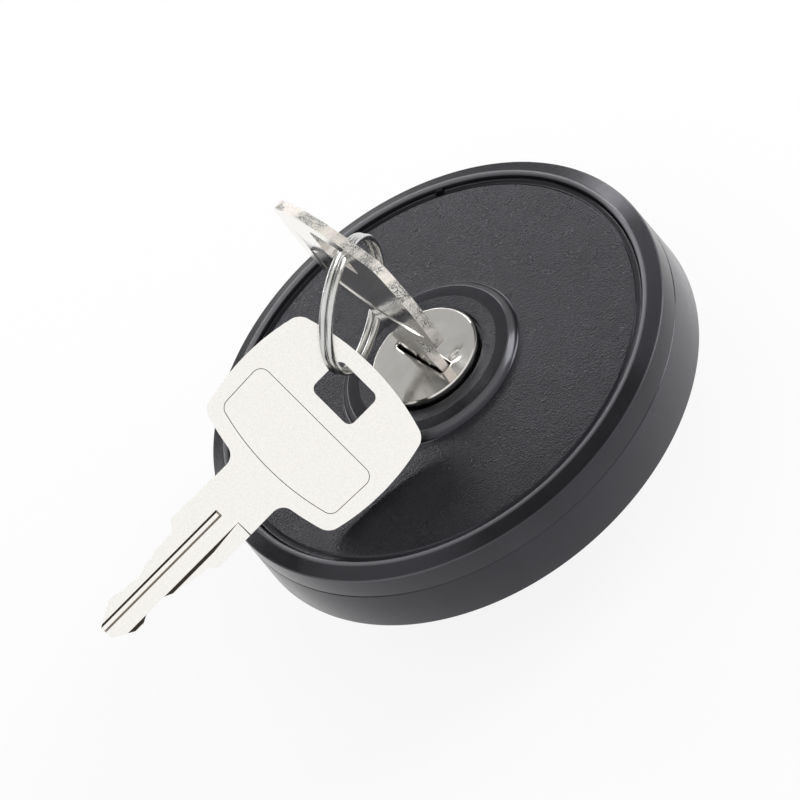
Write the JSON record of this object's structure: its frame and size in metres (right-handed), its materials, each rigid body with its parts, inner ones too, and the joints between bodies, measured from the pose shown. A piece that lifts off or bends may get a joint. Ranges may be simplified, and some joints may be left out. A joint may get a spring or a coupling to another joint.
{
  "type": "locking fuel filler cap with keys",
  "caption": "Round black locking fuel filler cap with a free-turning ribbed shell, bayonet spigot, key in the lock and a spare key on a split ring.",
  "frame": {"origin": "on the cap's axis, in the plane where the gasket meets the filler neck", "axes": "+Z out of the cap's face along its axis; +X along the locking bolt; the cap stands on its spigot's end"},
  "size_m": [0.0986, 0.0764, 0.0628],
  "materials": {
    "shell_plastic": "satin black moulded shell",
    "cover_plastic": "fine spark-eroded grain, satin black",
    "body_plastic": "moulded, matt black",
    "hub_plastic": "moulded, natural acetal",
    "gasket_rubber": "matt",
    "washer_plastic": "smooth",
    "lock_zinc": "die-cast, as cast",
    "lock_face_steel": "satin, pressed sheet",
    "wafer_brass": "stamped",
    "spring_steel": "oiled spring steel",
    "bolt_steel": "plated",
    "screw_steel": "plated",
    "key_nickel": "nickel plated, satin, with sheared edges",
    "ring_nickel": "bright plated wire"
  },
  "bodies": {
    "closure": {"closure_body": "body_plastic", "spigot_base": "body_plastic", "vent_valve": "gasket_rubber", "gasket": "gasket_rubber", "thrust_washer": "washer_plastic"},
    "shell_cap": {"grip_ring": "shell_plastic", "cover_disc": "cover_plastic", "hub": "hub_plastic", "cover_screws": "screw_steel", "retaining_ring": "spring_steel", "lock_barrel": "lock_zinc"},
    "plug": {"lock_plug": "lock_zinc", "lock_face": "lock_face_steel", "wafers": "wafer_brass", "plug_clip": "spring_steel", "cam_plate": "lock_zinc"},
    "bolt": {"locking_bolt": "bolt_steel"},
    "main_key": {"key_1": "key_nickel"},
    "ring": {"key_ring": "ring_nickel"},
    "spare_key": {"key_2": "key_nickel"}
  },
  "joints": [
    {"name": "cap_spin", "type": "hinge", "parent": "closure", "child": "shell_cap", "pos_m": [0, 0, 0], "axis": [0, 0, 1], "continuous": true},
    {"name": "plug_turn", "type": "hinge", "parent": "shell_cap", "child": "plug", "pos_m": [0, 0, 0], "axis": [0, 0, -1], "range_deg": [0, 90]},
    {"name": "bolt_slide", "type": "slide", "parent": "shell_cap", "child": "bolt", "axis": [1, 0, 0], "range_m": [0, 0.0026]},
    {"name": "key_draw", "type": "slide", "parent": "plug", "child": "main_key", "axis": [0.006, -0.0326, 0.9995], "range_m": [0, 0.028]},
    {"name": "ring_swing", "type": "hinge", "parent": "main_key", "child": "ring", "pos_m": [-0.00094, 0.00546, 0.01926], "axis": [-0.0616, 0.3575, -0.9319], "range_deg": [0, 10]},
    {"name": "spare_key_swing", "type": "hinge", "parent": "ring", "child": "spare_key", "pos_m": [-0.01067, -0.00369, 0.02238], "axis": [0.2371, 0.5421, -0.8062], "range_deg": [0, 20]}
  ],
  "couplings": [
    {"joint": "bolt_slide", "follows": "plug_turn", "m_per_rad": 0.0016552}
  ]
}
